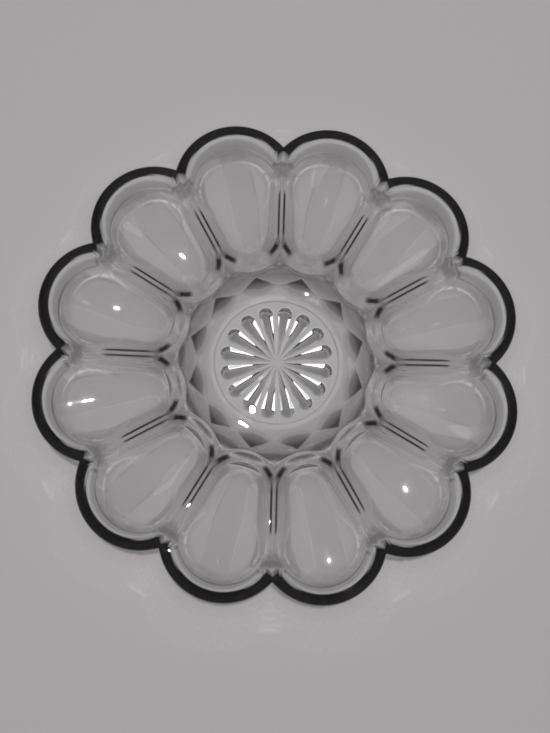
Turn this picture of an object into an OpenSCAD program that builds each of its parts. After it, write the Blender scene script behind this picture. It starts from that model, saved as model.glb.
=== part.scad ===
// Platter for deviled eggs: one pressing of clear glass, in millimetres, +Z up.
// It stands on z = 0 with its middle on the Z axis, and a divider lies along +X.

/* [Platter] */
// Diameter over the tips of the scallops
platter_d = 254; // [250:1:260]
// Height of the rim above the table
platter_h = 24; // [22:0.5:28]
// Glass under the floor of an egg hollow
glass_t = 4; // [3.5:0.25:5.5]
// Glass around the walls of an egg hollow
cup_t = 5; // [4.5:0.25:6]
// Gap between the underside of an egg cup and the table
cup_lift = 0.5; // [0.25:0.25:2]

/* [Egg hollows] */
// Radius of the hollow's broad outer end
hollow_outer_r = 24.6; // [23.6:0.2:25]
// Radius of the hollow's narrow inner end
hollow_inner_r = 14.8; // [14:0.2:15.6]
// Distance between the middles of the two ends
hollow_spread = 25; // [23:0.5:27]
// Height of the broad end's middle above the rim
outer_mid_up = 1.5; // [0.5:0.25:4]
// Height of the narrow end's middle above the dividers' inner ends
inner_mid_up = 2; // [1:0.25:4]
// Radius of the hollow's floor from side to side
floor_r = 60; // [50:1:80]
// Slope of the hollow's floor, which rises outwards
floor_slope = 6.5; // [5:0.25:8]

/* [Rim] */
// Radius of one scallop of the outline
scallop_r = 33; // [31.5:0.5:35]
// Width of the rim's top at the tip of a scallop
rim_w = 6; // [5:0.25:7]
// Radius of the rounded outer edge of the rim
lip_r = 2.5; // [1.5:0.25:3.5]
// Height at which the outer wall springs from the egg cup
wall_foot_h = 12.5; // [11:0.5:14]
// How far the outer wall leans in on its way down
wall_lean = 5; // [4:0.25:7]

/* [Dividers] */
// Height of the dividers above the table where they meet the dish
divider_inner_h = 15; // [14:0.25:16.5]
// Height of the dividers above the table where they meet the rim
divider_outer_h = 19.5; // [18:0.25:21]
// Slope of the rim's inner face above a divider, from upright
rim_face_lean = 20; // [5:1:30]
// Width of the glass along the top of a nose, between hollow and dish
nose_w = 5.9; // [5.25:0.05:6.5]
// Draft of the noses on the dish side, from upright
nose_draft = 13.5; // [8:0.5:16]

/* [Centre dish] */
// Glass under the dish's flat floor
dish_t = 6; // [5:0.25:7]
// Width of the dish's rising flank, from its flat floor out to the noses
flank_w = 7; // [5:0.5:9]
// Distance from the foot of a kite facet, on a divider, out to the circle that the noses touch
kite_reach = 9; // [7:0.5:11]
// Width of a kite facet's foot
kite_foot_w = 0.6; // [0.4:0.1:1.2]
// Slope of the kite facets, and of the dish above them
kite_slope = 26.5; // [22:0.5:29]
// Distance from the foot of a fan facet out to its nose
fan_reach = 13.8; // [12.6:0.2:15]
// Distance from the peak of a fan facet out to its nose
peak_reach = 2.2; // [1:0.2:3]

/* [Starburst] */
// Distance from the middle to the tips of the petals
petal_tip_at = 30.4; // [27:0.2:31]
// Radius of a petal's round end
petal_end_r = 4; // [3.5:0.1:4.8]
// Depth of a petal at its round end
petal_depth = 3.2; // [2:0.1:3.8]
// Distance from the middle to the points of the petals
petal_point_at = 2; // [1.5:0.25:4]
// Turn of the starburst against the wells
petal_turn = 2.8; // [0:0.1:11]
// Radius of the fine ring around the starburst
ring_r = 33.2; // [32:0.2:35]
// Width of the fine ring's groove
ring_w = 0.8; // [0.4:0.1:1.2]

/* [Hidden] */
$fn = 120;
well_count = 12;
petal_count = 16;
arc_step = 9;
// Room that a cutter keeps past the faces that it cuts through
past = 1;
well_step = 360 / well_count;
half_step = well_step / 2;
glass = [0.80, 0.84, 0.83, 0.5];

// Egg hollow: a wall around two balls of different size, and a floor across it
hollow_outer_h = platter_h + outer_mid_up;
hollow_inner_h = divider_inner_h + inner_mid_up;
hollow_rim_r = slice_r(hollow_outer_r, outer_mid_up);
hollow_outer_at = platter_d / 2 - rim_w - hollow_rim_r;
hollow_inner_at = hollow_outer_at - hollow_spread;

floor_low_at = hollow_inner_at - hollow_inner_r;
floor_low_h = cup_lift + glass_t;

// Scallops
scallop_at = platter_d / 2 - scallop_r;
notch_at = scallop_at * cos(half_step) + slice_r(scallop_r, scallop_at * sin(half_step));
rim_foot_at = notch_at - rim_w;
rim_top_at = rim_foot_at + (platter_h - divider_outer_h) * tan(rim_face_lean);

// Noses and hub
nose_top_r = slice_r(hollow_inner_r, inner_mid_up) + nose_w;
nose_foot_r = nose_top_r + divider_inner_h * tan(nose_draft);
nose_end_at = hollow_inner_at - nose_top_r;
hub_r = hollow_inner_at * cos(half_step);
seam_at = hollow_inner_at - nose_foot_r - past;

// Facets: each fan is a shallow flute that runs up from the foot to a peak between two kites
dish_floor_r = nose_end_at - flank_w;
kite_foot_at = nose_end_at - kite_reach;
fan_foot_at = nose_end_at - fan_reach;
fan_peak_at = nose_end_at - peak_reach;
kite_length = hub_r / cos(kite_slope);
fan_peak_h = (fan_peak_at * cos(half_step) - kite_foot_at) * tan(kite_slope);
fan_slope = atan2(fan_peak_h, fan_peak_at - fan_foot_at);
fan_corner = kite_foot_at * [cos(half_step), sin(half_step)]
    + kite_foot_w / 2 * [sin(half_step), -cos(half_step)];
fan_bow = (fan_corner.x - fan_foot_at) * sin(fan_slope);
fan_r = (pow(fan_corner.y, 2) + pow(fan_bow, 2)) / (2 * fan_bow);

// Starburst
petal_end_at = petal_tip_at - petal_end_r;
petal_half_angle = asin(petal_end_r / (petal_end_at - petal_point_at));

function well_name(i) = str("egg_well_", i < 10 ? "0" : "", i);

function well_angle(i) = (i - 0.5) * well_step;

// Radius of the circle that a plane cuts from a ball, at a distance from its middle
function slice_r(ball_r, distance) = sqrt(pow(ball_r, 2) - pow(distance, 2));

function arc(middle, r, from, to) =
    let (steps = ceil((to - from) / arc_step))
    [for (i = [0:steps]) let (a = from + (to - from) * i / steps) middle + r * [cos(a), sin(a)]];

// The rounded cone around the two balls of the hollow on +X, with so much added all round
module rounded_cone(added) {
    inner_r = hollow_inner_r + added;
    rise = hollow_outer_h - hollow_inner_h;
    length = norm([hollow_spread, rise]);
    flare = asin((hollow_outer_r - hollow_inner_r) / length);
    translate([hollow_inner_at, 0, hollow_inner_h])
        rotate([0, 90 - atan2(rise, hollow_spread), 0])
            rotate_extrude()
                polygon(concat(
                    [[0, -inner_r * cos(arc_step)]],
                    arc([0, 0], inner_r, arc_step - 90, -flare),
                    arc([0, length], hollow_outer_r + added, -flare, 90)
                ));
}

// Space over the hollow's floor, a strip of a wide tube that rises outwards, with so much added below
module over_floor(added) {
    translate([floor_low_at, 0, floor_low_h])
        rotate([0, 90 - floor_slope, 0])
            translate([-floor_r, 0, -platter_d / 4])
                cylinder(h = platter_d / 2, r = floor_r + added);
}

// Egg hollow on +X: steep rounded walls around a broad floor
module hollow() {
    intersection() {
        rounded_cone(0);
        over_floor(0);
    }
}

// Cup that holds the hollow
module cup() {
    intersection() {
        rounded_cone(cup_t);
        over_floor(glass_t);
    }
}

// One scallop of the rim, with its sloping outer wall and rounded lip
module scallop() {
    translate([scallop_at, 0, 0])
        rotate_extrude()
            polygon(concat(
                [[0, wall_foot_h], [scallop_r - wall_lean, wall_foot_h]],
                arc([scallop_r - lip_r, platter_h - lip_r], lip_r, 0, 90),
                [[0, platter_h]]
            ));
}

// Drafted cone that bounds a nose on the dish side
module nose_cone() {
    translate([hollow_inner_at, 0, -past])
        cylinder(
            h = divider_inner_h + 2 * past,
            r1 = nose_foot_r + past * tan(nose_draft),
            r2 = nose_top_r - past * tan(nose_draft)
        );
}

// Space above the dividers, inside the rim
module above_dividers() {
    rotate_extrude()
        polygon([
            [0, divider_inner_h],
            [nose_end_at, divider_inner_h],
            [rim_foot_at, divider_outer_h],
            [rim_top_at + past * tan(rim_face_lean), platter_h + past],
            [0, platter_h + past]
        ]);
}

// Everything under the plane of a kite facet that lies on +X
module under_kite() {
    translate([kite_foot_at, 0, 0])
        rotate([0, -kite_slope, 0])
            translate([-past, -hub_r / 2, -hub_r])
                cube([kite_length, hub_r, hub_r]);
}

// Flute of a fan facet that lies on +X
module fan_flute() {
    translate([fan_foot_at, 0, 0])
        rotate([0, 90 - fan_slope, 0])
            translate([fan_r, 0, -fan_foot_at / 2])
                cylinder(h = hub_r, r = fan_r);
}

// Solid hub with its facets: fans at the given angles, and kites half a step to either side
module hub(fan_angles, kite_angles) {
    difference() {
        cylinder(h = divider_inner_h, r = hub_r);
        for (a = fan_angles) rotate(a) fan_flute();
        for (a = kite_angles) rotate(a) under_kite();
    }
}

// Hollow of the dish: a flat floor and a flank that rises like the kites below it
module dish_hollow() {
    rotate_extrude()
        polygon([
            [0, dish_t],
            [dish_floor_r, dish_t],
            [hub_r + past, dish_t + (hub_r + past - dish_floor_r) * tan(kite_slope)],
            [hub_r + past, platter_h + past],
            [0, platter_h + past]
        ]);
}

// Nose of the well on +X, with the dish's flank to either side of it
module nose() {
    difference() {
        hub([0], [-half_step, half_step]);
        difference() {
            dish_hollow();
            nose_cone();
        }
    }
}

// Sector of the platter that the well on +X takes up, out from the centre dish
module well_sector() {
    spread = tan(half_step);
    linear_extrude(platter_h)
        polygon([[seam_at, -seam_at * spread], [platter_d, -platter_d * spread],
                 [platter_d, platter_d * spread], [seam_at, seam_at * spread]]);
}

// Petal on +X: a teardrop whose flanks meet in a crease that sinks towards the round end
module petal() {
    translate([petal_end_at, 0, 0])
        linear_extrude(height = petal_depth, scale = 0)
            polygon(concat(
                [[petal_point_at - petal_end_at, 0]],
                arc([0, 0], petal_end_r, -90 - petal_half_angle, 90 + petal_half_angle)
            ));
}

// Fine ring pressed around the starburst
module ring() {
    rotate_extrude()
        polygon([[ring_r - ring_w / 2, -past], [ring_r + ring_w / 2, -past], [ring_r + ring_w / 2, 0],
                 [ring_r, ring_w / 2], [ring_r - ring_w / 2, 0]]);
}

module centre_dish() {
    color(glass)
        difference() {
            intersection() {
                hub([for (i = [1:well_count]) well_angle(i)], [for (i = [1:well_count]) i * well_step]);
                cylinder(h = divider_inner_h, r = seam_at / cos(half_step), $fn = well_count);
            }
            dish_hollow();
            for (i = [1:petal_count]) rotate((i - 0.5) * 360 / petal_count + petal_turn) petal();
            ring();
        }
}

module egg_well(i) {
    color(glass)
        rotate(well_angle(i))
            difference() {
                intersection() {
                    well_sector();
                    union() {
                        cup();
                        scallop();
                        nose();
                    }
                }
                hollow();
                above_dividers();
            }
}

centre_dish();
for (i = [1:well_count]) egg_well(i);
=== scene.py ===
import math

import bmesh
import bpy
import numpy as np
from mathutils import Matrix, Vector


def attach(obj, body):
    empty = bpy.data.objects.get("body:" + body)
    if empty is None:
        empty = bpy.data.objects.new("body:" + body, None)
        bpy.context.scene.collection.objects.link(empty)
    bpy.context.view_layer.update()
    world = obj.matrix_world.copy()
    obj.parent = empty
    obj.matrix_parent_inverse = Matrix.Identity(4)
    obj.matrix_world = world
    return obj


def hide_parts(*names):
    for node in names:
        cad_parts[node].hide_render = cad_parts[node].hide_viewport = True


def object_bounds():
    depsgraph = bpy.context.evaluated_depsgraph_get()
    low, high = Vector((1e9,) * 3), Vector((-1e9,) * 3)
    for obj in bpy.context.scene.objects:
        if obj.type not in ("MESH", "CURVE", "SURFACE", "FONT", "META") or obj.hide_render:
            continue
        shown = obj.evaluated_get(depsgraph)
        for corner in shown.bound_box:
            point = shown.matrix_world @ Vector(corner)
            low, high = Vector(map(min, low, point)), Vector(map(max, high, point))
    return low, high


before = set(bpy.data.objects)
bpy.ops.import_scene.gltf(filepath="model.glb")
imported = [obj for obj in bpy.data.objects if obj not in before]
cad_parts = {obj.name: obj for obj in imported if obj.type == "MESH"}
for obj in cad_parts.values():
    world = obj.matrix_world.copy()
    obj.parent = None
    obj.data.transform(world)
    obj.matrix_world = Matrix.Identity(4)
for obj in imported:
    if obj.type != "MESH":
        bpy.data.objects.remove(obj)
cad_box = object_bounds()

MM = 0.001

# Counts around the platter
WELLS = 12
PETALS = 16
STEP = 2 * math.pi / WELLS
HALF = STEP / 2
PETAL_SPAN = math.pi / PETALS

# Sizes of the pressing, in millimetres
PLATTER_R = 127.0
PLATTER_H = cad_box[1].z / MM
GLASS_T = 4.0
CUP_T = 5.0
CUP_LIFT = 0.5
HOLLOW_OUTER_R = 24.6
HOLLOW_INNER_R = 14.8
HOLLOW_SPREAD = 25.0
OUTER_MID_UP = 1.5
INNER_MID_UP = 2.0
FLOOR_R = 60.0
FLOOR_SLOPE = math.radians(6.5)
SCALLOP_R = 33.0
RIM_W = 6.0
LIP_R = 2.5
WALL_FOOT_H = 12.5
WALL_LEAN = 5.0
DIVIDER_INNER_H = 15.0
DIVIDER_OUTER_H = 19.5
RIM_FACE_LEAN = math.radians(20)
NOSE_W = 5.9
NOSE_DRAFT = math.radians(13.5)
DISH_T = 6.0
FLANK_W = 7.0
KITE_REACH = 9.0
KITE_FOOT_W = 0.6
KITE_SLOPE = math.radians(26.5)
FAN_REACH = 13.8
PEAK_REACH = 2.2
FAN_SCOOP_R = 16.0
KITE_SCOOP_R = 26.0
SCOOP_LIMIT = 0.9
FAN_WALL = math.tan(math.radians(72))
PETAL_TIP_AT = 30.4
PETAL_END_R = 4.0
PETAL_DEPTH = 3.2
PETAL_POINT_AT = 2.0
PETAL_TURN = math.radians(2.8)
RING_R = 33.2
RING_W = 0.8

# How softly the fire-polished edges are rounded
HOLLOW_EDGE = 1.0
FLOOR_FILLET = 4.0
CUP_FILLET = 6.0
NOSE_FOOT_FILLET = 2.0
FLANK_FILLET = 3.0
GROOVE_FILLET = 1.2
WALL_FILLET = 4.0
FACET_EDGE = 0.25
PETAL_CREASE = 0.5
CREASE_SHARE = 0.3

# Worked out from the sizes
HOLLOW_OUTER_H = PLATTER_H + OUTER_MID_UP
HOLLOW_INNER_H = DIVIDER_INNER_H + INNER_MID_UP
HOLLOW_OUTER_AT = PLATTER_R - RIM_W - math.sqrt(HOLLOW_OUTER_R ** 2 - OUTER_MID_UP ** 2)
HOLLOW_INNER_AT = HOLLOW_OUTER_AT - HOLLOW_SPREAD
FLOOR_LOW_AT = HOLLOW_INNER_AT - HOLLOW_INNER_R
FLOOR_LOW_H = CUP_LIFT + GLASS_T
SCALLOP_AT = PLATTER_R - SCALLOP_R
NOTCH_AT = SCALLOP_AT * math.cos(HALF) + math.sqrt(SCALLOP_R ** 2 - (SCALLOP_AT * math.sin(HALF)) ** 2)
RIM_FOOT_AT = NOTCH_AT - RIM_W
NOSE_TOP_R = math.sqrt(HOLLOW_INNER_R ** 2 - INNER_MID_UP ** 2) + NOSE_W
NOSE_END_AT = HOLLOW_INNER_AT - NOSE_TOP_R
DISH_FLOOR_R = NOSE_END_AT - FLANK_W
KITE_FOOT_AT = NOSE_END_AT - KITE_REACH
FAN_FOOT_AT = NOSE_END_AT - FAN_REACH
FAN_PEAK_AT = NOSE_END_AT - PEAK_REACH
FAN_CORNER = (KITE_FOOT_AT * math.cos(HALF) + KITE_FOOT_W / 2 * math.sin(HALF),
              KITE_FOOT_AT * math.sin(HALF) - KITE_FOOT_W / 2 * math.cos(HALF))
FAN_BOW = FAN_CORNER[1] ** 2 / (FAN_CORNER[0] - FAN_FOOT_AT)
PETAL_END_AT = PETAL_TIP_AT - PETAL_END_R
PETAL_HALF = math.asin(PETAL_END_R / (PETAL_END_AT - PETAL_POINT_AT))
PETAL_FLANK = PETAL_DEPTH / (PETAL_END_R - PETAL_CREASE)
FAR = 1e3


def smooth_min(a, b, width):
    """The lower of two surfaces, blended over a width of their difference."""
    h = np.clip(0.5 + 0.5 * (b - a) / width, 0, 1)
    return b * (1 - h) + a * h - width * h * (1 - h)


def smooth_max(a, b, width):
    return -smooth_min(-a, -b, width)


def across_divider(x, y):
    """The same point as the neighbouring well sees it."""
    r, turn = np.hypot(x, y), STEP - np.arctan2(y, x)
    return r * np.cos(turn), r * np.sin(turn)


def ball_bottom(u, y, r):
    left = r ** 2 - u ** 2 - y ** 2
    return np.where(left > 0, -np.sqrt(np.maximum(left, 0)), FAR)


def wall_bottom(x, y, added):
    """Height of the rounded cone around the two balls of a hollow, with so much added all round."""
    inner_r = HOLLOW_INNER_R + added
    rise = HOLLOW_OUTER_H - HOLLOW_INNER_H
    length = math.hypot(HOLLOW_SPREAD, rise)
    s, c = rise / length, HOLLOW_SPREAD / length
    flare = math.tan(math.asin((HOLLOW_OUTER_R - HOLLOW_INNER_R) / length))
    u = x - HOLLOW_INNER_AT
    reach = inner_r * math.hypot(1, flare) + u * c * flare
    a = c ** 2 - (s * flare) ** 2
    b = -2 * s * (u * c + reach * flare)
    root = b ** 2 - 4 * a * (y ** 2 + (u * s) ** 2 - reach ** 2)
    cone = (-b - np.sqrt(np.maximum(root, 0))) / (2 * a)
    along = u * c + cone * s + np.hypot(y, cone * c - u * s) * flare
    cone = np.where((root > 0) & (reach > 0), cone, FAR)
    inner = ball_bottom(u, y, inner_r)
    outer = rise + ball_bottom(u - HOLLOW_SPREAD, y, HOLLOW_OUTER_R + added)
    return HOLLOW_INNER_H + np.where(along < 0, inner, np.where(along > length, outer, cone))


def floor_bottom(x, y, added):
    """Height of the broad floor, which rises outwards, with so much added below."""
    middle = FLOOR_LOW_H + FLOOR_R / math.cos(FLOOR_SLOPE) + (x - FLOOR_LOW_AT) * math.tan(FLOOR_SLOPE)
    return middle - np.sqrt(np.maximum((FLOOR_R + added) ** 2 - y ** 2, 0)) / math.cos(FLOOR_SLOPE)


def hollow(x, y):
    return smooth_max(wall_bottom(x, y, 0), floor_bottom(x, y, 0), FLOOR_FILLET)


def cup_bottom(x, y):
    return smooth_max(wall_bottom(x, y, CUP_T), floor_bottom(x, y, GLASS_T), CUP_FILLET)


def nose_side(x, y):
    """Height of the drafted cone that bounds a nose towards the dish."""
    out = np.hypot(x - HOLLOW_INNER_AT, y) - NOSE_TOP_R
    return DIVIDER_INNER_H - out / math.tan(NOSE_DRAFT)


def top_height(x, y):
    r = np.hypot(x, y)
    nx, ny = across_divider(x, y)
    inward = np.clip(SCALLOP_R - np.hypot(x - SCALLOP_AT, y), 0, LIP_R)
    lip = PLATTER_H - LIP_R + np.sqrt(np.maximum(LIP_R ** 2 - (LIP_R - inward) ** 2, 0))
    share = (r - NOSE_END_AT) / (RIM_FOOT_AT - NOSE_END_AT)
    divider = DIVIDER_INNER_H + (DIVIDER_OUTER_H - DIVIDER_INNER_H) * np.maximum(share, 0)
    rim_face = DIVIDER_OUTER_H + (r - RIM_FOOT_AT) / math.tan(RIM_FACE_LEAN)
    divider = smooth_max(divider, rim_face, NOSE_FOOT_FILLET)
    dish = DISH_T + smooth_max(0 * r, (r - DISH_FLOOR_R) * math.tan(KITE_SLOPE), FLANK_FILLET)
    nose = smooth_max(nose_side(x, y), nose_side(nx, ny), GROOVE_FILLET)
    dish = smooth_max(dish, nose, NOSE_FOOT_FILLET)
    ground = np.minimum(smooth_min(divider, dish, HOLLOW_EDGE), PLATTER_H)
    hollows = np.minimum(hollow(x, y), hollow(nx, ny))
    return np.minimum(lip, smooth_min(hollows, ground, HOLLOW_EDGE))


def outer_wall(x, y):
    """Height of the sloping wall under the rim."""
    out = np.hypot(x - SCALLOP_AT, y) - (SCALLOP_R - WALL_LEAN)
    rise = (PLATTER_H - LIP_R - WALL_FOOT_H) / WALL_LEAN
    return WALL_FOOT_H + np.maximum(out, 0) * rise


def scoop(reach, r):
    """Height of a hollow whose slope grows with the distance from its foot."""
    reach = np.clip(reach, 0, SCOOP_LIMIT * r)
    return r - np.sqrt(r ** 2 - reach ** 2)


def fan_edge(x, y):
    """Distance inwards from the edge between a fan and the kite beside it."""
    dx, dy = FAN_CORNER[0] - FAN_PEAK_AT, FAN_CORNER[1]
    return (dx * np.abs(y) - dy * (x - FAN_PEAK_AT)) / math.hypot(dx, dy)


def facets(x, y):
    """Height of the hub's underside: flat foot, fans on the wells, kites on the dividers."""
    r, a = np.hypot(x, y), np.arctan2(y, x)
    kite = scoop(r * np.cos(HALF - a) - KITE_FOOT_AT, KITE_SCOOP_R)
    fan = scoop(x - FAN_FOOT_AT - y ** 2 / FAN_BOW, FAN_SCOOP_R)
    fan = smooth_min(fan, kite + np.maximum(fan_edge(x, y), 0) * FAN_WALL, FACET_EDGE)
    return smooth_max(kite, fan, FACET_EDGE)


def petal_height(r, a):
    """Height of a pressed petal above the foot, by radius and angle from its crease."""
    u, v = r * np.cos(a), np.abs(r * np.sin(a))
    width = (u - PETAL_POINT_AT) * math.sin(PETAL_HALF)
    crease = np.clip(CREASE_SHARE * width, 0, PETAL_CREASE)
    flank = width - np.hypot(v * math.cos(PETAL_HALF), crease)
    end = PETAL_END_R - np.sqrt((u - PETAL_END_AT) ** 2 + v ** 2 + PETAL_CREASE ** 2)
    tail = np.arctan2(v, u - PETAL_END_AT) > math.pi / 2 + PETAL_HALF
    ring = RING_W / 2 - np.abs(r - RING_R)
    return np.maximum(np.maximum(np.where(tail, flank, end) * PETAL_FLANK, ring), 0)


def under_height(x, y):
    nx, ny = across_divider(x, y)
    cups = smooth_min(cup_bottom(x, y), cup_bottom(nx, ny), GROOVE_FILLET)
    wall = smooth_min(outer_wall(x, y), outer_wall(nx, ny), GROOVE_FILLET)
    return smooth_min(smooth_min(cups, wall, WALL_FILLET), facets(x, y), GROOVE_FILLET)


# Half of one well: spokes run from the spine of the hollow out to the rim, the divider and the dish

OUTLINE_SPOKES = 14
DIVIDER_SPOKES = 20
DISH_SPOKES = 16
STAR_TIP_AT = 59.6
NOSE_FOOT_AT = 48.8
SPOKE_LEAN = 0.23
EDGE_DROP = HOLLOW_EDGE * 0.3
HALVINGS = 30


def spokes():
    """Start and end points of the spokes of half a well."""
    notch = np.array([NOTCH_AT * math.cos(HALF), NOTCH_AT * math.sin(HALF)])
    notch_turn = math.atan2(notch[1], notch[0] - SCALLOP_AT)
    turn = np.linspace(0, notch_turn, OUTLINE_SPOKES + 1)
    rim = np.stack([SCALLOP_AT + SCALLOP_R * np.cos(turn), SCALLOP_R * np.sin(turn)], 1)
    r = np.linspace(NOTCH_AT, STAR_TIP_AT, DIVIDER_SPOKES + 1)[1:]
    divider = np.stack([r * math.cos(HALF), r * math.sin(HALF)], 1)
    tip = divider[-1] - [HOLLOW_INNER_AT, 0]
    share = np.linspace(0, 1, DISH_SPOKES + 1)[1:]
    tip_turn = math.atan2(tip[1], tip[0])
    turn = tip_turn + (math.pi - tip_turn) * share
    reach = np.hypot(*tip) + (HOLLOW_INNER_AT - NOSE_FOOT_AT - np.hypot(*tip)) * share
    nose = np.stack([HOLLOW_INNER_AT + reach * np.cos(turn), reach * np.sin(turn)], 1)
    ends = np.concatenate([rim, divider, nose])
    lean = ends[:, 0] - ends[:, 1] * SPOKE_LEAN
    starts = np.stack([np.clip(lean, HOLLOW_INNER_AT, HOLLOW_OUTER_AT), 0 * lean], 1)
    return starts, ends


def hollow_edge(starts, ends):
    """Share of each spoke at which the hollow's edge lies."""
    low, high = np.zeros(len(ends)), np.ones(len(ends))
    for _ in range(HALVINGS):
        mid = (low + high) / 2
        p = starts + (ends - starts) * mid[:, None]
        inside = hollow(p[:, 0], p[:, 1]) < top_height(p[:, 0], p[:, 1]) + EDGE_DROP
        low, high = np.where(inside, mid, low), np.where(inside, high, mid)
    return low


def even(low, high, count):
    return low[:, None] + (high - low)[:, None] * np.linspace(0, 1, count, endpoint=False)[None]


FLOOR_ROWS = 6
WALL_ROWS = 9
EDGE_ROWS = 5
CREST_ROWS = 9
UNDER_ROWS = 22
UNDER_CROWDING = 1.5
WALL_W = 7.0
EDGE_W = 0.8
FOOT_LIMITS = (0.2, 0.96)
NEAR_LIMITS = (0.22, 0.97)
FAR_LIMITS = (0.24, 0.98)


def top_rows(starts, ends):
    edge = hollow_edge(starts, ends)
    length = np.hypot(*(ends - starts).T)
    foot = np.clip(edge - WALL_W / length, *FOOT_LIMITS)
    near = np.clip(edge - EDGE_W / length, *NEAR_LIMITS)
    far = np.clip(edge + EDGE_W / length, *FAR_LIMITS)
    u = np.linspace(0, 1, CREST_ROWS + 1)[None]
    crest = far[:, None] + (1 - far)[:, None] * np.sin(u * math.pi / 2)
    parts = [even(0 * foot, foot, FLOOR_ROWS), even(foot, near, WALL_ROWS), even(near, far, EDGE_ROWS), crest]
    return np.concatenate(parts, 1)


def under_rows(starts, ends):
    u = np.linspace(0, 1, UNDER_ROWS + 1)
    return np.repeat((1 - (1 - u) ** UNDER_CROWDING)[None], len(ends), 0)


def well_patch(rows, height):
    starts, ends = spokes()
    s = rows(starts, ends)
    x = starts[:, None, 0] + (ends - starts)[:, None, 0] * s
    y = starts[:, None, 1] + (ends - starts)[:, None, 1] * s
    return np.stack([x, y, height(x, y)], -1)


# The star-shaped dish between the noses: columns run out from the flat ring to the noses

RING_OUT_AT = 36.0
STAR_TOP_ROWS = 14
FOOT_ROWS = 3
FAN_ROWS = 7
FAN_EDGE_ROWS = 5
KITE_ROWS = 9
FAN_EDGE_W = 1.6


def dish_columns():
    """Radius and angle of the columns' outer ends."""
    _, ends = spokes()
    ends = ends[-DISH_SPOKES - 1:][::-1]
    return np.hypot(ends[:, 0], ends[:, 1]), np.arctan2(ends[:, 1], ends[:, 0])


def fan_foot(a):
    k = np.sin(a) ** 2 / FAN_BOW
    root = np.sqrt(np.maximum(np.cos(a) ** 2 - 4 * k * FAN_FOOT_AT, 0))
    return np.where(k > 1e-9, (np.cos(a) - root) / np.maximum(2 * k, 1e-12), FAN_FOOT_AT)


def kite_foot(a):
    dx, dy = FAN_CORNER[0] - FAN_PEAK_AT, FAN_CORNER[1]
    return FAN_PEAK_AT * dy / (np.cos(a) * dy - np.sin(a) * dx)


def star_patch(stations, height):
    reach, a = dish_columns()
    r = stations(reach, a)
    x, y = r * np.cos(a)[:, None], r * np.sin(a)[:, None]
    return np.stack([x, y, height(x, y)], -1)


def star_under(reach, a):
    ring = np.full_like(a, RING_OUT_AT)
    fan, kite = fan_foot(a), np.minimum(kite_foot(a), reach)
    edge = np.maximum(kite - FAN_EDGE_W, (fan + kite) / 2)
    parts = [even(ring, fan, FOOT_ROWS), even(fan, edge, FAN_ROWS), even(edge, kite, FAN_EDGE_ROWS)]
    parts += [even(kite, reach, KITE_ROWS), reach[:, None]]
    return np.concatenate(parts, 1)


def star_top(reach, a):
    u = np.linspace(0, 1, STAR_TOP_ROWS + 1)[None]
    return RING_OUT_AT + (reach - RING_OUT_AT)[:, None] * u


# The middle of the foot: columns follow the petals of the starburst

MIDDLE_COLUMNS = 2 * WELLS * DISH_SPOKES
HALF_PETAL_COLUMNS = MIDDLE_COLUMNS // (2 * PETALS)
PETAL_SHARES = (0, 0.06, 0.13, 0.22, 0.35, 0.6, 0.9, 0.985, 1.0)
TAIL_LEAST = 0.3
EDGE_LEAST = 0.02
EDGE_MOST = 0.6
EDGE_GROWTH = 0.2
LAND_COLUMNS = HALF_PETAL_COLUMNS + 1 - len(PETAL_SHARES)
MIDDLE_RADII = (0.5, 1.2, 2, 3, 4.5, 6.5, 9, 12, 15, 18, 21, 23, 24.5, 25.6, 26.4, 27.2, 28, 28.7, 29.3,
                29.8, 30.1, 30.4, 30.7, 31.3, 32, 32.7, 33, 33.2, 33.4, 33.7, 34.5, 35.3)


def petal_edge(r):
    """Angle from the crease to the petal's edge at a radius."""
    reach = (r ** 2 + PETAL_END_AT ** 2 - PETAL_END_R ** 2) / (2 * r * PETAL_END_AT)
    tail = PETAL_HALF - math.asin(min(1, PETAL_POINT_AT * math.sin(PETAL_HALF) / r))
    if r < PETAL_END_AT * math.cos(PETAL_HALF) ** 2 + PETAL_POINT_AT * math.sin(PETAL_HALF) ** 2:
        return max(tail, TAIL_LEAST * PETAL_SPAN)
    if reach < 1:
        return max(math.acos(reach), EDGE_LEAST * PETAL_SPAN)
    return PETAL_SPAN * min(EDGE_MOST, EDGE_LEAST + (r - PETAL_TIP_AT) * EDGE_GROWTH)


def middle_rings():
    """Rings of the starburst from its middle out to the flat ring, one row of points each."""
    column = 2 * math.pi / MIDDLE_COLUMNS
    even_turn = np.arange(MIDDLE_COLUMNS) * column
    start = round((PETAL_SPAN + PETAL_TURN) / column) * column
    rings = []
    for r in MIDDLE_RADII:
        edge = petal_edge(r)
        half = [edge * s for s in PETAL_SHARES]
        half += [edge + (PETAL_SPAN - edge) * (k + 1) / LAND_COLUMNS for k in range(LAND_COLUMNS)]
        full = half[:-1] + [2 * PETAL_SPAN - t for t in half[:0:-1]]
        turn = np.concatenate([np.array(full) + 2 * PETAL_SPAN * k for k in range(PETALS)])
        from_crease = (turn + PETAL_SPAN) % (2 * PETAL_SPAN) - PETAL_SPAN
        ease = np.clip((r - PETAL_TIP_AT) / (RING_OUT_AT - PETAL_TIP_AT), 0, 1)
        place = (turn + PETAL_SPAN + PETAL_TURN) * (1 - ease) + (even_turn + start) * ease
        z = petal_height(np.full_like(turn, r), from_crease)
        rings.append(np.stack([r * np.cos(place), r * np.sin(place), z], 1))
    return rings


MERGE_GAP = 4e-6
SLIVER = 1e-6
DISH_FLOOR_SHARES = (0, 0.33, 0.67, 1)


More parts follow.
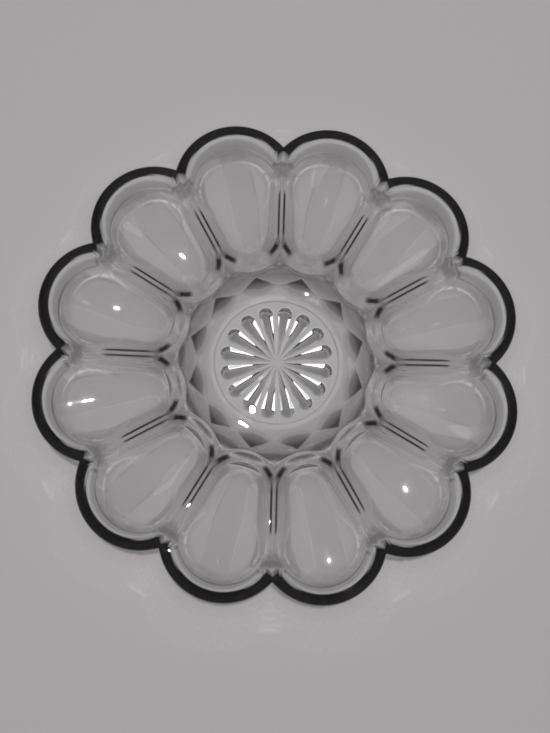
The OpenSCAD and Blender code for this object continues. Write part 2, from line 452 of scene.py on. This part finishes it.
class Skin:
    """Collects the points and faces of the glass skin."""

    def __init__(self):
        self.points, self.faces, self.count = [], [], 0

    def patch(self, grid, flip, closed=False):
        rows, columns = grid.shape[:2]
        index = self.count + np.arange(rows * columns).reshape(rows, columns)
        self.points.append(grid.reshape(-1, 3))
        self.count += rows * columns
        after = np.roll(index, -1, 0) if closed else index[1:]
        index = index if closed else index[:-1]
        quads = np.stack([index[:, :-1], index[:, 1:], after[:, 1:], after[:, :-1]], -1).reshape(-1, 4)
        self.faces.append(quads[:, ::-1] if flip else quads)

    def around(self, grid, flip):
        """The patch and its mirror image at every well."""
        for i in range(WELLS):
            a = HALF + i * STEP
            turn = np.array([[math.cos(a), math.sin(a), 0], [-math.sin(a), math.cos(a), 0], [0, 0, 1]])
            self.patch(grid @ turn, flip)
            self.patch((grid * [1, -1, 1]) @ turn, not flip)

    def mesh(self, name):
        mesh = bpy.data.meshes.new(name)
        mesh.from_pydata((np.concatenate(self.points) * MM).tolist(), [], np.concatenate(self.faces).tolist())
        work = bmesh.new()
        work.from_mesh(mesh)
        bmesh.ops.remove_doubles(work, verts=work.verts, dist=MERGE_GAP)
        bmesh.ops.dissolve_degenerate(work, edges=work.edges, dist=SLIVER)
        bmesh.ops.recalc_face_normals(work, faces=work.faces)
        for f in work.faces:
            f.smooth = True
        work.to_mesh(mesh)
        work.free()
        return mesh


def glass_skin():
    skin = Skin()
    skin.around(well_patch(top_rows, top_height), False)
    skin.around(well_patch(under_rows, under_height), True)
    skin.around(star_patch(star_top, top_height), False)
    skin.around(star_patch(star_under, under_height), True)
    shift = round((PETAL_SPAN + PETAL_TURN) / (2 * math.pi / MIDDLE_COLUMNS))
    _, a = dish_columns()
    sector = np.concatenate([-a[:0:-1], a[:-1]]) + HALF
    outer_turn = np.concatenate([sector + i * STEP for i in range(WELLS)])
    outer = np.stack([RING_OUT_AT * np.cos(outer_turn), RING_OUT_AT * np.sin(outer_turn), 0 * outer_turn], 1)
    foot_rim = np.roll(outer, -shift, 0)
    skin.patch(np.stack([0 * foot_rim] + middle_rings() + [foot_rim], 1), True, closed=True)
    floor = [outer * [s, s, 1] + [0, 0, DISH_T] for s in DISH_FLOOR_SHARES]
    skin.patch(np.stack(floor, 1), False, closed=True)
    return skin.mesh("platter_glass")


# Painted shade in the glass: its colour is darkened where the real platter looks dark from above, at the rim,
# the walls of the hollows, the facets, lines beside the dividers and ovals on the noses

RIM_DARK = 0.95
RIM_SOFT = 0.3
WALL_DARK = 0.35
WALL_SOFT = 2.0
WALL_ABOVE_FLOOR = 0.5
WALL_BELOW_RIM = 3.0
WALL_SPREAD = 8.0
FACET_DARK = 0.75
FAN_DARK_W = 9.0
KITE_DARK_W = 12.0
FACETS_END_AT = 55.0
FACETS_FADE = 2.0
LINE_DARK = 0.88
LINE_FROM, LINE_TO = 64.0, 90.0
LINE_IN, LINE_OUT = 0.6, 2.1
LINE_SOFT = 0.4
LINE_FADE = 2.0
OVAL_DARK = 0.88
OVAL_AT = NOSE_TOP_R - 2.4
OVAL_W = 3.6
OVAL_FROM, OVAL_TO = math.radians(122), math.radians(153)
OVAL_SOFT = 0.8
OVAL_FADE = 0.12
LEAST_GLASS = 1.0
SLACK = 0.1


def between(v, low, high, soft):
    """1 between two bounds and 0 beyond them, with soft ends inside."""
    return np.clip(np.minimum(v - low, high - v) / soft, 0, 1)


def painted_glass_shade(points):
    """Painted shade at points of the glass skin: the share by which the glass's colour is darkened towards
    black.
    """
    z = points[:, 2]
    x, y = in_half_well(points[:, 0], points[:, 1])
    r, a = np.hypot(x, y), np.arctan2(y, x)
    on_top = z > under_height(x, y) + LEAST_GLASS
    inward = SCALLOP_R - np.hypot(x - SCALLOP_AT, y)
    rim = np.clip((RIM_W - inward) / RIM_SOFT, 0, 1) * (z > PLATTER_H - LIP_R - SLACK)
    wall = between(z, floor_bottom(x, y, 0) + WALL_ABOVE_FLOOR, PLATTER_H - WALL_BELOW_RIM, WALL_SOFT)
    wall *= between(r, HOLLOW_OUTER_AT, FAR, WALL_SPREAD)
    fan = (x - FAN_FOOT_AT - y ** 2 / FAN_BOW) / FAN_DARK_W
    kite = (r * np.cos(HALF - a) - KITE_FOOT_AT) / KITE_DARK_W
    facet = np.clip(np.where(fan_edge(x, y) > 0, fan, kite), 0, 1)
    facet *= np.clip((FACETS_END_AT - r) / FACETS_FADE, 0, 1)
    line = between(r * np.sin(HALF - a), LINE_IN, LINE_OUT, LINE_SOFT)
    line *= between(r, LINE_FROM, LINE_TO, LINE_FADE)
    out, turn = np.hypot(x - HOLLOW_INNER_AT, y), np.arctan2(y, x - HOLLOW_INNER_AT)
    oval = between(out, OVAL_AT - OVAL_W / 2, OVAL_AT + OVAL_W / 2, OVAL_SOFT)
    oval *= between(turn, OVAL_FROM, OVAL_TO, OVAL_FADE)
    # Painted shade: each mark darkens the glass's colour, and the marks multiply
    unshaded_share = (1 - RIM_DARK * rim) * (1 - WALL_DARK * wall * on_top) * (1 - FACET_DARK * facet * ~on_top)
    unshaded_share *= (1 - LINE_DARK * line * on_top) * (1 - OVAL_DARK * oval * on_top)
    return 1 - unshaded_share ** 2


def platter():
    mesh = glass_skin()
    points = np.empty(3 * len(mesh.vertices))
    mesh.vertices.foreach_get("co", points)
    # Painted shade: how far the glass's colour is darkened at each point, kept on the mesh
    dark = mesh.attributes.new("painted_glass_shade", "FLOAT", "POINT")
    dark.data.foreach_set("value", painted_glass_shade(points.reshape(-1, 3) / MM))
    piece = bpy.data.objects.new("platter", mesh)
    bpy.context.collection.objects.link(piece)
    return piece


# The bulb's light on the table, painted into the floor's colour: rays are followed down through the glass,
# which gathers and parts them

BULB_AT = np.array([12.0, 184.0, 2006.0])
GLASS_IOR = 1.52
TABLE_H = -0.3
LIT_SPAN = 150.0
LIT_CELL = 0.5
SHAPE_CELL = 0.25
RAY_CELL = 0.2
LEAST_FALL = 0.05
SEARCH_STEPS = 4


def in_half_well(x, y):
    """The same place in the half well that the shapes are written for."""
    r, a = np.hypot(x, y), np.abs(np.arctan2(y, x) % STEP - HALF)
    return r * np.cos(a), r * np.sin(a)


def over_platter(x, y):
    x, y = in_half_well(x, y)
    return (x < SCALLOP_AT) | (np.hypot(x - SCALLOP_AT, y) < SCALLOP_R)


def whole_under(x, y):
    from_crease = (np.arctan2(y, x) - PETAL_TURN) % (2 * PETAL_SPAN) - PETAL_SPAN
    return np.maximum(under_height(*in_half_well(x, y)), petal_height(np.hypot(x, y), from_crease))


class Relief:
    """Heights and slopes of one face of the platter on a square grid."""

    def __init__(self, height):
        line = np.arange(-LIT_SPAN, LIT_SPAN + SHAPE_CELL, SHAPE_CELL)
        x, y = np.meshgrid(line, line, indexing="ij")
        z = height(x, y)
        self.fields = [z, *np.gradient(z, SHAPE_CELL)]

    def at(self, x, y):
        u, v = ((np.clip(c, 1 - LIT_SPAN, LIT_SPAN - 1) + LIT_SPAN) / SHAPE_CELL for c in (x, y))
        i, j = u.astype(int), v.astype(int)
        f, g = u - i, v - j
        return [(m[i, j] * (1 - g) + m[i, j + 1] * g) * (1 - f)
                + (m[i + 1, j] * (1 - g) + m[i + 1, j + 1] * g) * f for m in self.fields]


def upright(sx, sy):
    n = np.stack([-sx, -sy, np.ones_like(sx)])
    return n / np.linalg.norm(n, axis=0)


def bend(ray, normal, ratio):
    """Direction of a ray past a surface, and the share of its light that passes."""
    cosine = -(ray * normal).sum(0)
    left = 1 - ratio ** 2 * (1 - cosine ** 2)
    root = np.sqrt(np.maximum(left, 0))
    glance = 1 - np.minimum(np.abs(cosine), root)
    mirror = ((1 - ratio) / (1 + ratio)) ** 2
    share = np.where((left > 0) & (cosine > 0), (1 - mirror) * (1 - glance ** 5), 0)
    return ratio * ray + (ratio * cosine - root) * normal, share


def lamp_light():
    """Light that reaches the table, as a share of what it gets beside the platter."""
    line = np.arange(-LIT_SPAN, LIT_SPAN, RAY_CELL)
    x, y = (c.ravel() for c in np.meshgrid(line, line, indexing="ij"))
    keep = over_platter(x, y)
    x, y = x[keep], y[keep]
    top = Relief(lambda x, y: top_height(*in_half_well(x, y)))
    under = Relief(whole_under)
    z, sx, sy = top.at(x, y)
    place = np.stack([x, y, z])
    ray = place - BULB_AT[:, None]
    ray /= np.linalg.norm(ray, axis=0)
    normal = upright(sx, sy)
    flux = np.maximum(-(ray * normal).sum(0) / normal[2] / -ray[2], 0)
    ray, share = bend(ray, normal, 1 / GLASS_IOR)
    flux *= share
    end = place
    for _ in range(SEARCH_STEPS):
        z, sx, sy = under.at(end[0], end[1])
        end = place + ray * ((place[2] - z) / -ray[2])
    ray, share = bend(ray, upright(sx, sy), GLASS_IOR)
    flux *= share * (ray[2] < -LEAST_FALL)
    land = end + ray * ((end[2] - TABLE_H) / np.maximum(-ray[2], LEAST_FALL))
    flux *= (np.abs(land[:2]) < LIT_SPAN - LIT_CELL).all(0)
    count = int(2 * LIT_SPAN / LIT_CELL) + 1
    u = np.clip((land[:2] + LIT_SPAN) / LIT_CELL, 0, count - 1.01)
    i, f = u.astype(int), u % 1
    light = np.zeros(count * count)
    for a in (0, 1):
        for b in (0, 1):
            weight = np.abs(1 - a - f[0]) * np.abs(1 - b - f[1])
            light += np.bincount((i[0] + a) * count + i[1] + b, weight * flux, count * count)
    light = light.reshape(count, count) * (RAY_CELL / LIT_CELL) ** 2
    line = np.linspace(-LIT_SPAN, LIT_SPAN, count)
    x, y = np.meshgrid(line, line, indexing="ij")
    up = (PLATTER_H - LIP_R - TABLE_H) / (BULB_AT[2] - TABLE_H)
    light += ~over_platter(x + (BULB_AT[0] - x) * up, y + (BULB_AT[1] - y) * up)
    light[1:-1] = (light[:-2] + 2 * light[1:-1] + light[2:]) / 4
    light[:, 1:-1] = (light[:, :-2] + 2 * light[:, 1:-1] + light[:, 2:]) / 4
    return x, y, light


class Value:
    """A socket of a material's nodes, with operators that add Math nodes."""

    def __init__(self, net, socket):
        self.net, self.socket = net, socket

    def math(self, operation, a, b):
        return self.net.node("ShaderNodeMath", {"operation": operation}, {0: a, 1: b})

    def __add__(self, other):
        return self.math("ADD", self, other)

    def __radd__(self, other):
        return self.math("ADD", other, self)

    def __sub__(self, other):
        return self.math("SUBTRACT", self, other)

    def __rsub__(self, other):
        return self.math("SUBTRACT", other, self)

    def __mul__(self, other):
        return self.math("MULTIPLY", self, other)

    def __rmul__(self, other):
        return self.math("MULTIPLY", other, self)


class Finish:
    """One material and its nodes."""

    def __init__(self, name):
        self.material = bpy.data.materials.new(name)
        self.material.use_nodes = True
        self.tree = self.material.node_tree
        self.shader = self.tree.nodes["Principled BSDF"]

    def set(self, node, values):
        for key, value in values.items():
            if isinstance(value, Value):
                self.tree.links.new(value.socket, node.inputs[key])
            else:
                node.inputs[key].default_value = value

    def node(self, kind, settings, values, output=0):
        node = self.tree.nodes.new(kind)
        for key, value in settings.items():
            setattr(node, key, value)
        self.set(node, values)
        return Value(self, node.outputs[output])


RIPPLE_SCALE = 45.0
RIPPLE_STRENGTH = 0.03
RIPPLE_H = 1.0
DEEP_TINT = (0.95, 0.965, 0.96, 1)
PALE_TINT = (0.965, 0.975, 0.975, 1)
BLACK = (0, 0, 0, 1)


def clear_glass():
    finish = Finish("clear_glass")
    place = finish.node("ShaderNodeTexCoord", {}, {}, "Object")
    ripple = finish.node("ShaderNodeTexNoise", {},
                         {"Vector": place, "Scale": RIPPLE_SCALE, "Detail": 1.0}, "Fac")
    bump = finish.node("ShaderNodeBump", {},
                       {"Height": ripple, "Strength": RIPPLE_STRENGTH, "Distance": RIPPLE_H * MM}, "Normal")
    glass_tone_and_painted_shade = finish.node("ShaderNodeMix", {"data_type": "RGBA"},
                       {0: ripple, 6: DEEP_TINT, 7: PALE_TINT}, 2)
    # Painted shade: the glass's own tone is mixed towards black by the painted shade kept on the mesh
    dark = finish.node("ShaderNodeAttribute", {"attribute_name": "painted_glass_shade"}, {}, "Fac")
    glass_tone_and_painted_shade = finish.node("ShaderNodeMix", {"data_type": "RGBA"}, {0: dark, 6: glass_tone_and_painted_shade, 7: BLACK}, 2)
    finish.set(finish.shader, {"Base Color": glass_tone_and_painted_shade, "Roughness": 0.0, "IOR": GLASS_IOR,
                               "Transmission Weight": 1.0, "Normal": bump})
    return finish.material


# Camera of the photograph, fitted to the outline of the rim

PHOTO_SIDE = 733
FOCAL_PIXELS = 870
SENSOR = 36.0
NEAREST_SEEN = 10.0
CAMERA_DISTANCE = 445.7
CAMERA_AZIMUTH = math.radians(-12.92)
CAMERA_ELEVATION = math.radians(80.87)
CAMERA_ROLL = math.radians(14.62)
CAMERA_AIM = Vector((-1.45, -5.26, PLATTER_H - LIP_R))


def photo_camera():
    a, e = CAMERA_AZIMUTH, CAMERA_ELEVATION
    back = Vector((math.sin(a) * math.cos(e), -math.cos(a) * math.cos(e), math.sin(e)))
    level = Vector((math.cos(a), math.sin(a), 0))
    upright = back.cross(level)
    right = level * math.cos(CAMERA_ROLL) + upright * math.sin(CAMERA_ROLL)
    up = upright * math.cos(CAMERA_ROLL) - level * math.sin(CAMERA_ROLL)
    data = bpy.data.cameras.new("photo_camera")
    data.lens = FOCAL_PIXELS / PHOTO_SIDE * SENSOR
    data.sensor_width = SENSOR
    data.clip_start = NEAREST_SEEN * MM
    camera = bpy.data.objects.new("photo_camera", data)
    place = Matrix((right, up, back)).transposed().to_4x4()
    place.translation = (CAMERA_AIM + back * CAMERA_DISTANCE) * MM
    camera.matrix_world = place
    bpy.context.collection.objects.link(camera)
    bpy.context.scene.camera = camera


# Lamps, in metres and watts: one small bulb, and soft panels in a ring and over the middle

BULB_SIZE = 0.016
BULB_POWER = 17.0
PANELS = 8
PANEL_AT = 0.9
PANEL_H = 2.0
PANEL_SIZE = 0.8
PANEL_POWER = 2.3
MIDDLE_H = 2.05
MIDDLE_SIZE = 1.1
MIDDLE_POWER = 2.4
ROOM_LIGHT = 0.04
ROOM_COLOUR = (0.9, 0.92, 1.0, 1)


def panel_places():
    turns = [2 * math.pi * k / PANELS for k in range(PANELS)]
    return [(PANEL_AT * math.cos(a), PANEL_AT * math.sin(a), PANEL_H) for a in turns]


def light_below(place, power):
    """Light on the middle of the table from a lamp that is aimed at it."""
    return power * place[2] / (math.pi * math.hypot(*place) ** 3)


def bulb_share():
    """Share of the table's light that comes from the bulb."""
    bulb = light_below(BULB_AT * MM, BULB_POWER)
    soft = sum(light_below(place, PANEL_POWER) for place in panel_places())
    soft += light_below((0, 0, MIDDLE_H), MIDDLE_POWER) + math.pi * ROOM_LIGHT
    return bulb / (bulb + soft)


TABLE_HALF = 3000.0
TABLE_GREY = (0.45, 0.426, 0.437)
TABLE_ROUGHNESS = 0.8


def table():
    x, y, light = lamp_light()
    count = len(x)
    points = np.stack([x, y, np.full_like(x, TABLE_H)], -1).reshape(-1, 3)
    index = np.arange(count * count).reshape(count, count)
    quads = np.stack([index[:-1, :-1], index[1:, :-1], index[1:, 1:], index[:-1, 1:]], -1).reshape(-1, 4)
    far = np.array([[-1, -1], [1, -1], [1, 1], [-1, 1]]) * TABLE_HALF
    points = np.concatenate([points, np.c_[far, np.full(4, TABLE_H)]])
    corners = [index[0, 0], index[-1, 0], index[-1, -1], index[0, -1]]
    last = count ** 2
    border = [[last + k, last + (k + 1) % 4, corners[(k + 1) % 4], corners[k]] for k in range(4)]
    quads = np.concatenate([quads, border])
    mesh = bpy.data.meshes.new("table")
    mesh.vertices.add(len(points))
    mesh.vertices.foreach_set("co", (points * MM).ravel())
    mesh.loops.add(quads.size)
    mesh.loops.foreach_set("vertex_index", quads.ravel())
    mesh.polygons.add(len(quads))
    mesh.polygons.foreach_set("loop_start", np.arange(0, quads.size, 4))
    mesh.update(calc_edges=True)
    mesh.validate()
    lit = mesh.attributes.new("lamp_light", "FLOAT", "POINT")
    lit.data.foreach_set("value", np.concatenate([light.ravel(), np.ones(4)]))
    finish = Finish("table_grey_and_painted_light")
    # Painted light and shadow: the bulb's share of the floor's light, with the platter's shadow and the light
    # its glass gathers, is painted into the floor's Base Color
    light = finish.node("ShaderNodeAttribute", {"attribute_name": "lamp_light"}, {}, "Fac")
    lit = 1 + bulb_share() * (light - 1)
    grey_and_painted_light = finish.node("ShaderNodeVectorMath", {"operation": "SCALE"},
                       {0: TABLE_GREY, "Scale": lit}, "Vector")
    grey_and_painted_light = finish.node("ShaderNodeVectorMath", {"operation": "MINIMUM"}, {0: grey_and_painted_light, 1: (1, 1, 1)}, "Vector")
    finish.set(finish.shader, {"Base Color": grey_and_painted_light, "Roughness": TABLE_ROUGHNESS})
    mesh.materials.append(finish.material)
    plane = bpy.data.objects.new("table", mesh)
    bpy.context.collection.objects.link(plane)


def lamp(name, place, size, power):
    data = bpy.data.lights.new(name, "AREA")
    data.shape = "DISK"
    data.size = size
    data.energy = power
    lamp_object = bpy.data.objects.new(name, data)
    lamp_object.location = place
    lamp_object.rotation_euler = Vector(place).to_track_quat("Z", "Y").to_euler()
    bpy.context.collection.objects.link(lamp_object)
    return lamp_object


def light(piece):
    bulb = lamp("bulb", BULB_AT * MM, BULB_SIZE, BULB_POWER)
    panels = [lamp("panel", place, PANEL_SIZE, PANEL_POWER) for place in panel_places()]
    panels.append(lamp("panel_middle", (0, 0, MIDDLE_H), MIDDLE_SIZE, MIDDLE_POWER))
    for panel in panels:
        panel.visible_glossy = False
    clear = bpy.data.collections.new("lets_light_through")
    clear.objects.link(piece)
    clear.collection_objects[0].light_linking.link_state = "EXCLUDE"
    bulb.light_linking.blocker_collection = clear
    bulb.visible_transmission = False
    bpy.context.scene.cycles.blur_glossy = 0
    world = bpy.data.worlds.new("room")
    world.use_nodes = True
    world.node_tree.nodes["Background"].inputs["Color"].default_value = ROOM_COLOUR
    world.node_tree.nodes["Background"].inputs["Strength"].default_value = ROOM_LIGHT
    bpy.context.scene.world = world


bpy.context.scene.view_settings.view_transform = "Standard"
piece = platter()
piece.data.materials.append(clear_glass())
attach(piece, "root")
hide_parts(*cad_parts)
table()
photo_camera()
light(piece)
